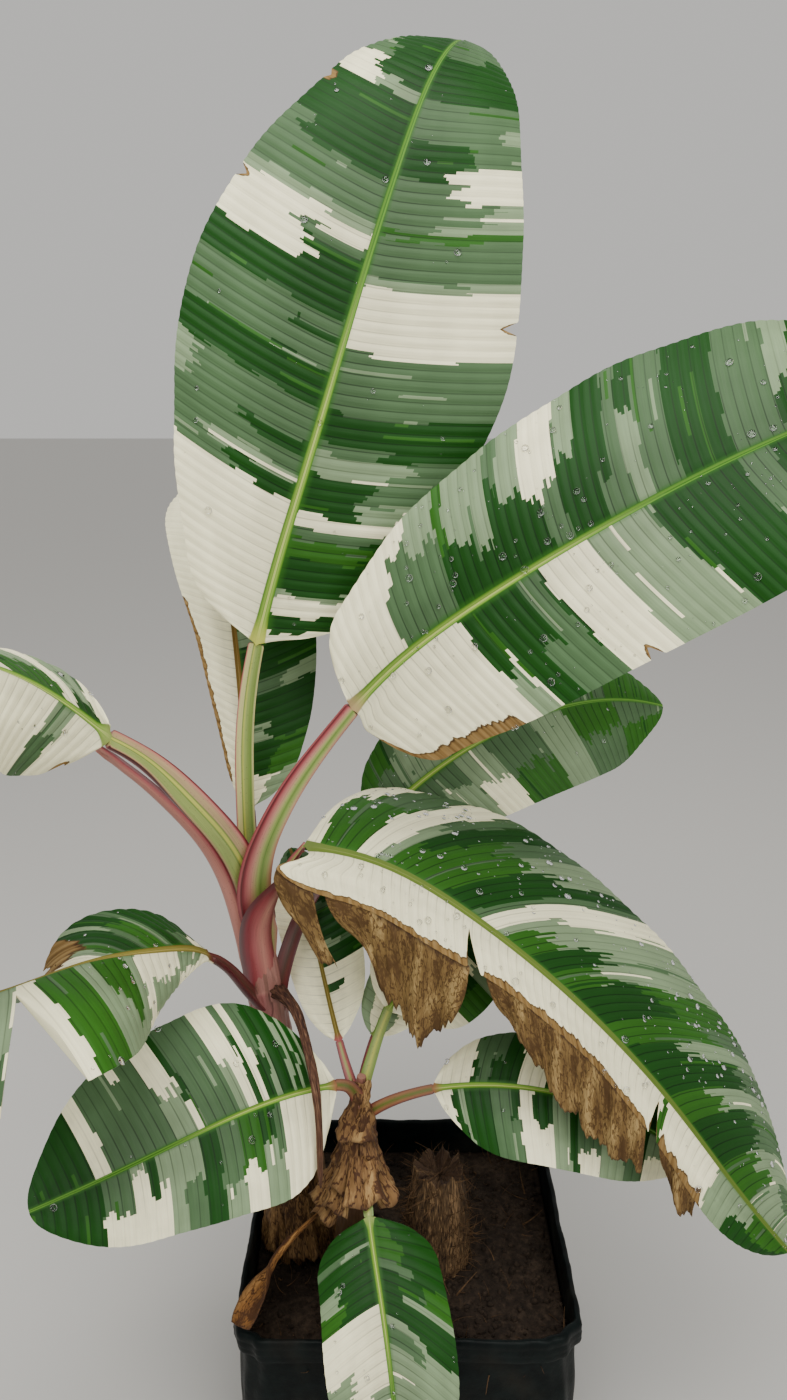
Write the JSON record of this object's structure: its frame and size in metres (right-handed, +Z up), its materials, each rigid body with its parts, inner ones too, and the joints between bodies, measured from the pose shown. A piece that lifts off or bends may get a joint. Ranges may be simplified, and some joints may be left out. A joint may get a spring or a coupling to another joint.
{
  "type": "banana plant",
  "caption": "Variegated banana plant with a main stem and a small sucker, broad striped leaves, some of them torn and dry, in a soft square black grow bag of soil.",
  "frame": {"origin": "middle of the flat underside of the grow bag", "axes": "+Z up; -Y the front, the side that the picture shows; +X to the right seen from the front"},
  "size_m": [1.4147, 0.8429, 2.0722],
  "materials": {
    "bag": "satin",
    "soil": "rough",
    "stem": "satin",
    "red_stalk": "satin",
    "green_stalk": "satin",
    "blade": "satin",
    "dry_leaf": "matte",
    "stump": "rough"
  },
  "bodies": {
    "root": {"grow_bag": "bag", "soil": "soil", "main_stem": "stem", "leaf_1_stalk": "green_stalk", "leaf_1_blade": "blade", "leaf_2_stalk": "red_stalk", "leaf_2_blade": "blade", "leaf_3_stalk": "red_stalk", "leaf_3_blade": "blade", "leaf_4_stalk": "green_stalk", "leaf_4_blade": "blade", "leaf_5_stalk": "red_stalk", "leaf_6_stalk": "red_stalk", "leaf_6_blade": "blade", "leaf_7_stalk": "red_stalk", "leaf_7_blade": "blade", "leaf_8_stalk": "red_stalk", "leaf_8_blade": "blade", "sucker_stem": "dry_leaf", "sucker_leaf_1_stalk": "red_stalk", "sucker_leaf_1_blade": "blade", "sucker_leaf_2_stalk": "red_stalk", "sucker_leaf_2_blade": "blade", "sucker_leaf_3_stalk": "red_stalk", "sucker_leaf_3_blade": "blade", "sucker_leaf_4_stalk": "green_stalk", "sucker_leaf_4_blade": "blade", "sucker_leaf_5_stalk": "red_stalk", "sucker_leaf_5_blade": "blade", "sucker_leaf_6_stalk": "red_stalk", "sucker_leaf_6_blade": "blade", "dry_flap_1": "dry_leaf", "dry_flap_2": "dry_leaf", "dry_flap_3": "dry_leaf", "dry_flap_4": "dry_leaf", "dry_sheath": "dry_leaf", "dry_collar": "dry_leaf", "dead_stalk": "dry_leaf", "dry_strip": "dry_leaf", "old_stump": "stump"}
  },
  "joints": []
}
